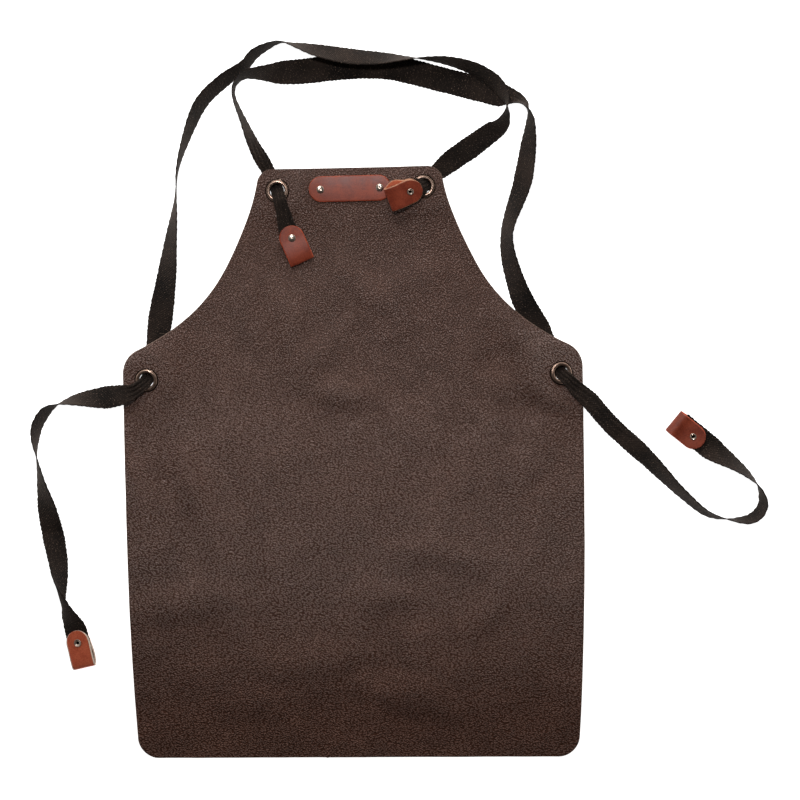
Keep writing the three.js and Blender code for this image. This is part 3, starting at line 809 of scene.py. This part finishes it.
def lift(x, y):
    """The height of the leather's underside above the table."""
    height = hill_height(x, y)
    for at_x, at_y, flat, back in EYELETS.values():
        slope_x, slope_y = slopes(hill_height, at_x, at_y)
        plane = hill_height(at_x, at_y) + slope_x * (x - at_x) + slope_y * (y - at_y)
        share = smooth_step(np.hypot(x - at_x, y - at_y), flat, back)
        height = plane + (height - plane) * share
    return height


def on_leather(x, y):
    """Axes on the leather's middle layer, as a matrix in millimetres, Z along the leather's normal."""
    slope_x, slope_y = slopes(lift, x, y)
    normal = Vector((-slope_x, -slope_y, 1)).normalized()
    turn = Vector((0, 0, 1)).rotation_difference(normal).to_matrix().to_4x4()
    return np.array(Matrix.Translation((x, y, float(lift(x, y)) + HIDE_THICK / 2)) @ turn)


# %% [markdown]
# ## The panel's outline
#
# The cut is nearly symmetrical: an arc for each armhole, a small round corner below it, sides that draw in
# slightly towards the hem, and round corners. One formula gives half the width at any height, and the whole
# panel leans and rises a little, as it was laid down.

# %% Outline of the panel
TOP, HEM = 375, -379
TOP_CORNER, HEM_CORNER = 16.5, 25.5
ARM_X, ARM_Y, ARM_RADIUS = 394.7, 395.4, 276.5
ARM_WAVE, ARM_WAVE_LENGTH = 2.3, 182
SIDE_HALF, SIDE_BOW, SIDE_RUN, SIDE_CORNER = 294, 14, 505, 32
LEAN, LEAN_SHIFT = 0.0165, 1.9
TOP_RISE, TOP_RISE_FROM = 0.022, -538

corner_x = SIDE_HALF - SIDE_CORNER
corner_y = ARM_Y - math.sqrt((ARM_RADIUS + SIDE_CORNER) ** 2 - (ARM_X - corner_x) ** 2)
arm_start = ARM_Y - (ARM_Y - corner_y) * ARM_RADIUS / (ARM_RADIUS + SIDE_CORNER)


def round_off(radius, past):
    return radius - math.sqrt(max(0, radius**2 - max(0, past) ** 2))


def half_width(y):
    if y > arm_start:
        wave = ARM_WAVE * math.sin(2 * math.pi * (y - arm_start) / ARM_WAVE_LENGTH)
        cut = round_off(TOP_CORNER, y - TOP + TOP_CORNER)
        return ARM_X - math.sqrt(ARM_RADIUS**2 - (ARM_Y - y) ** 2) - wave - cut
    if y > corner_y:
        return corner_x + math.sqrt(SIDE_CORNER**2 - (y - corner_y) ** 2)
    drawn_in = SIDE_BOW * ((corner_y - y) / SIDE_RUN) ** 3
    return SIDE_HALF - drawn_in - round_off(HEM_CORNER, HEM + HEM_CORNER - y)


def panel_heights():
    """The heights of the grid's rows, closer where the outline turns."""
    quarter = np.linspace(0, math.pi / 2, 14, endpoint=False)
    hem = HEM + HEM_CORNER - HEM_CORNER * np.cos(quarter)
    side = np.linspace(HEM + HEM_CORNER, corner_y, 136, endpoint=False)
    turn = np.linspace(0, math.asin((arm_start - corner_y) / SIDE_CORNER), 10, endpoint=False)
    arm = np.linspace(arm_start, TOP - TOP_CORNER, 76, endpoint=False)
    top = TOP - TOP_CORNER + TOP_CORNER * np.sin(np.append(quarter, math.pi / 2))
    return np.concatenate([hem, side, corner_y + SIDE_CORNER * np.sin(turn), arm, top])


# %% [markdown]
# ## The panel
#
# The grid is laid out flat, the eyelet holes are opened by moving the nearest points onto a circle, and
# then every point is raised. On top of the hills the hide gets low creases where the photograph shows them
# and a faint swell of its own, everywhere but beside the metal, because a hide is never as even as a sheet
# of card.

# %% The panel
COLUMNS = 176
EYELET_HOLE = 10.6
# as the hills above: x, y, half length, half breadth, direction in degrees, height
CREASES = [
    (-85, 190, 75, 30, 97, 4.68),
    (-48, 132, 75, 32, 48, 6.84),
    (-20, 88, 75, 28, -10, 5.04),
    (8, 228, 65, 26, -45, 4.32),
    (203, 98, 45, 32, -20, 5.4),
    (-210, -24, 80, 30, -65, 5.76),
    (-272, -40, 70, 24, -72, 3.96),
    (-215, -182, 95, 34, 10, 7.56),
    (38, -172, 60, 28, 0, 5.04),
    (170, -190, 70, 30, 55, 5.4),
    (75, -300, 95, 34, -16, 6.48),
    (-60, -255, 120, 34, 6, 5.4),
    (120, -120, 90, 26, -8, 3.6),
]
SWELL, SWELL_SEED = 2.2, 5
# the hide keeps still near what is fixed to it: heights on the bib, distances from an eyelet and the tab
BIB_STILL, EYELET_STILL, TAB_STILL = (330, 270), 20, (45, 80)
PANEL_ROUNDING = 0.5


def swell(x, y):
    """Creases and a faint unevenness above the hills, that fade out beside eyelets, label and tab."""
    rng = np.random.default_rng(SWELL_SEED)
    wave = np.zeros(x.shape)
    for length in np.geomspace(55, 150, 14):
        turn, shift = rng.uniform(0, 2 * math.pi, 2)
        wave += np.sin(2 * math.pi * (x * math.cos(turn) + y * math.sin(turn)) / length + shift)
    rise = SWELL * np.clip(0.5 + 0.16 * wave, 0, 1) ** 1.5 + hill_height(x, y, CREASES)
    clear = smooth_step(y, *BIB_STILL)
    for at_x, at_y, _, back in EYELETS.values():
        clear = clear * smooth_step(np.hypot(x - at_x, y - at_y), EYELET_STILL, back)
    tab_x, tab_y = TABS["bib_left"][:2]
    return rise * clear * smooth_step(np.hypot(x - tab_x, y - tab_y), *TAB_STILL)


def apron_panel():
    heights = panel_heights()
    share = np.linspace(-1, 1, COLUMNS + 1)
    x = np.array([half_width(y) for y in heights])[:, None] * share
    climb = TOP_RISE * np.maximum(0, heights - TOP_RISE_FROM) / (TOP - TOP_RISE_FROM)
    y = heights[:, None] + climb[:, None] * x
    x = x + (LEAN_SHIFT - LEAN * heights)[:, None]
    mid_x, mid_y = ((v[:-1, :-1] + v[1:, 1:] + v[:-1, 1:] + v[1:, :-1]) / 4 for v in (x, y))
    holes = []
    for at_x, at_y, _, _ in EYELETS.values():
        cells = np.argwhere(np.hypot(mid_x - at_x, mid_y - at_y) < EYELET_HOLE)
        for row, column in {(r + i, c + j) for r, c in cells for i in (0, 1) for j in (0, 1)}:
            out = np.array([x[row, column] - at_x, y[row, column] - at_y])
            place = out * EYELET_HOLE / np.linalg.norm(out)
            x[row, column], y[row, column] = at_x + place[0], at_y + place[1]
        holes += [tuple(cell) for cell in cells]
    z = lift(x, y) + HIDE_THICK + swell(x, y)
    grid = np.stack([x, y, z], axis=2)
    return leather_sheet("panel", grid, HIDE_THICK, PANEL_ROUNDING, [cowhide, hide_edge, hide_flesh], holes)


panel = stands_for(apron_panel(), "apron_panel", "panel_leather")

# %% [markdown]
# ## The label
#
# The label is a strip with round ends, riveted near the bib's top edge. It is laid out flat, turned a
# little and set on the panel's own height, and its rivets press it down around them.

# %% The label
LABEL_X, LABEL_Y, LABEL_TURN = -3.8, 348.2, 1.5
LABEL_LENGTH, LABEL_HEIGHT, LABEL_CORNER, LABEL_THICK = 104, 33, 15.5, 2
LABEL_RIVETS = {"left": (-42, 347), "right": (34.5, 349.5)}
LABEL_PRESS, LABEL_PRESS_REACH, LABEL_ROUNDING = 0.3, 6.5, 0.7
GAP = 0.3  # the clearance that the solid model keeps between its pieces


def label():
    turn = np.linspace(math.radians(3), math.pi / 2, 14, endpoint=False)
    end = LABEL_LENGTH / 2 - LABEL_CORNER
    right = end + LABEL_CORNER * np.cos(turn)
    run = np.concatenate([-right, np.linspace(-end, end, 52), right[::-1]])
    past = np.maximum(0, np.abs(run) - end)
    half = LABEL_HEIGHT / 2 - LABEL_CORNER + np.sqrt(LABEL_CORNER**2 - past**2)
    u, v = np.broadcast_arrays(run[None, :], np.linspace(-1, 1, 25)[:, None] * half)
    c, s = math.cos(math.radians(LABEL_TURN)), math.sin(math.radians(LABEL_TURN))
    x, y = LABEL_X + c * u - s * v, LABEL_Y + s * u + c * v
    z = lift(x, y) + HIDE_THICK + 2 * GAP + LABEL_THICK
    for at_x, at_y in LABEL_RIVETS.values():
        z = z - LABEL_PRESS * np.exp(-(((x - at_x) ** 2 + (y - at_y) ** 2) / LABEL_PRESS_REACH**2))
    grid = np.stack([x, y, z], axis=2)
    return leather_sheet("label", grid, LABEL_THICK, LABEL_ROUNDING, [cognac, dyed_edge, cognac_flesh])


stands_for(label(), "label_tag", "cognac_leather")

# %% [markdown]
# ## The tabs
#
# A tab is one strip: an upper leaf, a tight fold and a lower leaf, each leaf with a round end. The strip
# is laid along that path, so the grain side is outside all the way, and the flesh side shows only between
# the leaves. The rivet pulls the leaves together, and each tab bows and slips in its own way.

# %% The tabs
LEAF_COLUMNS = 25
TAB_ROUNDING, RAW_ROUNDING = 0.9, 1.5
TAB_HALF = TAB_LEAF + TAB_GAP / 2
TAB_PRESS, TAB_PRESS_REACH = 0.35, 6
CROWN_AT, CROWN_REACH = 9, 7  # where the upper leaf swells, from the fold
# how far the upper leaf bows, how long its fold is, how high it swells and how far the lower leaf slipped
TAB_LIE = {
    "bib_left": (0.6, 13, 0, 0),
    "bib_right": (1.6, 5, 0, 5.5),
    "tail_left": (0.4, 5, 0.4, -1.5),
    "tail_right": (0.3, 6, 2.2, 1),
}
# the tail's left tab takes the cognac painted lighter, as painted light
TAB_LEATHER = {"tail_left": cognac_painted_lit}
TAB_EDGES = {"bib_left": dyed_edge, "bib_right": worn_edge, "tail_left": raw_edge, "tail_right": dyed_edge}


def tab(name):
    *_, length, _ = TABS[name]
    bow, reach, swelling, slip = TAB_LIE[name]
    round_end = TAB_WIDTH / 2
    fold = round_end - length
    bend = fold + reach
    turn = np.linspace(math.radians(5), math.pi / 2, 16, endpoint=False)
    run = np.concatenate([round_end * np.cos(turn), np.linspace(0, bend, 26)])
    around = np.linspace(0, math.pi, 32)[1:-1]
    x = np.concatenate([run, bend - reach * np.sin(around), run[::-1]])
    leaf = np.concatenate([np.ones(len(run)), np.cos(around), -np.ones(len(run))])
    half = np.sqrt(round_end**2 - np.maximum(0, x) ** 2)
    x, leaf = (np.repeat(v[:, None], LEAF_COLUMNS, axis=1) for v in (x, leaf))
    y = np.linspace(-1, 1, LEAF_COLUMNS)[None, :] * half[:, None]
    back = np.clip(x / fold, 0, 1)
    z = leaf * (TAB_HALF - TAB_PRESS * np.exp(-((np.hypot(x, y) / TAB_PRESS_REACH) ** 2)))
    crown = swelling * np.exp(-(((x - fold - CROWN_AT) / CROWN_REACH) ** 2))
    z = z + np.maximum(0, leaf) * (bow * np.sin(math.pi * back) ** 2 + crown)
    y = y + slip * smooth_step(-leaf, 0, 1) * np.sin(math.pi * back) ** 1.5
    grid = placed(np.stack([x, y, z], axis=2), tab_axes(name))
    finishes = [TAB_LEATHER.get(name, cognac), TAB_EDGES[name], cognac_flesh]
    rounding = RAW_ROUNDING if TAB_EDGES[name] is raw_edge else TAB_ROUNDING
    return leather_sheet(f"leaf_{name}", grid, TAB_LEAF, rounding, finishes)


tabs = {name: stands_for(tab(name), f"tab_{name}", "cognac_leather") for name in TABS}

# %% [markdown]
# ## Finishes of the metal
#
# The eyelets are pressed brass with an antique copper plating: the plating is darkened all over and then
# rubbed back, so the high bead shines and the flange stays dark; the flange is also painted near black, as
# painted shadow around the ring. The rivets are nickel plated, dulled by handling. Both are metals, so
# their colour is the colour of their reflection.

# %% Copper and nickel
def plated_metal(name, dark, light, roughness):
    material, tree, shader = start_material(name, Metallic=1.0)
    place = add_node(tree, "ShaderNodeTexCoord").outputs["Object"]
    stain = rescale(tree, noise(tree, place, 5, 4.0), 0.3, 0.7)
    link_sockets(
        tree,
        shader,
        Base_Color=mix(tree, stain, linear(dark), linear(light)),
        Roughness=rescale(tree, stain, 0.0, 1.0, roughness + 0.1, roughness),
    )
    return material


# the flange: darkened plating, and painted shadow that outlines the ring
dark_copper_and_shadow = plated_metal("antique copper, darkened, with painted shadow", "#120d0b", "#231a15", 0.4)
rubbed_copper = plated_metal("antique copper, rubbed back", "#735c50", "#ab9283", 0.26)
nickel = plated_metal("dulled nickel plating", "#a59588", "#c9b9ac", 0.24)
# the floor of a rivet's bore is painted near black: painted shade inside the tube
bore_painted_shade = plated_metal("bore floor, painted shade", "#0c0908", "#16110f", 0.7)

# %% [markdown]
# ## Turned pieces
#
# Eyelets and rivets are round, so each is a profile of radius and height spun about its own axis. The
# eyelet has a thin flange, a groove and a rolled bead, and the rivet a domed cap on one side and a rolled
# ring with an open bore on the other.

# %% Turned pieces
SPIN_SIDES = 64


def turned(name, profile, axes, finishes, finish_from=()):
    """Spin a closed profile; finish_from gives the profile's steps where the next finish starts."""
    angle = np.linspace(0, 2 * math.pi, SPIN_SIDES, endpoint=False)
    radius, height = np.array(profile).T
    ring = np.stack([np.cos(angle), np.sin(angle)], axis=1)
    heights = np.broadcast_to(height[:, None, None], (len(radius), SPIN_SIDES, 1))
    points = np.concatenate([radius[:, None, None] * ring, heights], axis=2).reshape(-1, 3)
    index = np.arange(len(radius) * SPIN_SIDES).reshape(len(radius), SPIN_SIDES)
    closed = np.vstack([index, index[:1]])
    across = np.roll(closed, -1, axis=1)
    faces = np.stack([closed[:-1], across[:-1], across[1:], closed[1:]], axis=2).reshape(-1, 4)
    step = np.repeat(np.arange(len(radius)), SPIN_SIDES)
    kind = np.searchsorted(np.array(finish_from), step, side="right") % len(finishes)
    return mesh_piece(name, placed(points, axes), faces.tolist(), finishes, kind)


def arc(middle, height, wide, high, start, end, count):
    """Points on an elliptic arc of a profile, from one angle to another in degrees."""
    turn = np.radians(np.linspace(start, end, count))
    return list(zip(middle + wide * np.cos(turn), height + high * np.sin(turn)))


# %% [markdown]
# ## Eyelets
#
# From outside in, the front of an eyelet is a thin flange, a shallow groove and a bead that rolls over
# into the barrel. Behind the leather the barrel is spread into a flat rim.

# %% Eyelets
FACE = HIDE_THICK / 2 + 0.5
BARREL, BACK_RIM, BACK_RISE = 10.3, 14.2, 0.8


def eyelet(name):
    flange = arc(14.8, FACE, 0.6, 0.8, 0, 120, 8)
    groove = [(14.3, FACE + 0.55), (14.1, FACE + 0.5)]
    bead = arc(11.6, FACE + 0.3, 2.3, 1.8, 8, 180, 22)
    behind = -FACE - BACK_RISE
    back = [(9.3, -FACE), (10.2, behind), (BACK_RIM, behind), (BACK_RIM, -FACE), (BARREL, -FACE)]
    profile = flange + groove + bead + back + [(BARREL, FACE)]
    at = on_leather(*EYELETS[name][:2])
    bead_step = len(flange) + len(groove) - 1
    finish_from = (bead_step, bead_step + len(bead))
    piece = turned(f"ring_{name}", profile, at, [dark_copper_and_shadow, rubbed_copper], finish_from)
    return stands_for(piece, f"eyelet_{name}", "antique_copper")


for name in EYELETS:
    eyelet(name)

# %% [markdown]
# ## Rivets
#
# A cap rivet joins the leaves of each tab and holds the label's two ends. Its cap is a low dome, which on
# the label has a small dimple from the setting tool, and its other side is a tube rolled outwards, with a
# bore whose floor is painted near black, as painted shade inside the tube.

# %% Rivets
CAP, DOME, SHANK = 4.8, 1.6, 2.0
ROLL, RING, BORE, BORE_DEEP = 0.7, 4.3, 2.6, 0.45
WIDE_RING, WIDE_BORE = 4.9, 4.1  # one rivet has a wider tube
LABEL_DIMPLE, TAB_DIMPLE = 0.35, 0.02
AXIS = 0.02  # a profile ends this close to the axis


def rivet(name, node, reach, axes, dimple, ring_radius=RING, bore_radius=BORE):
    face = reach / 2 + GAP
    top, floor = face + DOME, -face + BORE_DEEP
    press = [(AXIS, top - dimple), (0.7, top - 0.9 * dimple), (1.3, top - 0.25 * dimple)]
    dome = arc(0, face + 0.15, CAP, DOME - 0.15, 68, 0, 12)
    skirt = [(CAP - 0.25, face - 0.1), (SHANK, face - 0.1)]
    ring = arc((ring_radius + bore_radius) / 2, -face, (ring_radius - bore_radius) / 2, ROLL, 0, -180, 12)
    bore = [(bore_radius - 0.1, -face + 0.2), (bore_radius - 0.2, floor), (AXIS, floor)]
    profile = press + dome + skirt + [(SHANK, -face)] + ring + bore
    piece = turned(name, profile[::-1], axes, [bore_painted_shade, nickel], (len(bore) - 1,))
    return stands_for(piece, node, "nickel")


label_stack = HIDE_THICK + 2 * GAP + LABEL_THICK
for name, (x, y) in LABEL_RIVETS.items():
    raise_it = np.array(Matrix.Translation((0, 0, (label_stack - HIDE_THICK) / 2)))
    axes = on_leather(x, y) @ raise_it
    rivet(f"stud_{name}", f"label_rivet_{name}", label_stack + 2 * GAP, axes, LABEL_DIMPLE)

for name, (*_, cap_up) in TABS.items():
    over = np.array(Matrix.Rotation(0 if cap_up else math.pi, 4, "X"))
    axes = tab_axes(name) @ over
    tube = (WIDE_RING, WIDE_BORE) if name == "tail_left" else (RING, BORE)
    rivet(f"stud_{name}", f"rivet_{name}", 2 * TAB_HALF, axes, TAB_DIMPLE, *tube)

# %% [markdown]
# ## Hand the pieces over
#
# Every piece rides on the one body, and the node of the solid model that it stands for is hidden.

for piece, node, slot in made:
    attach(piece, "root")
    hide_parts(node)
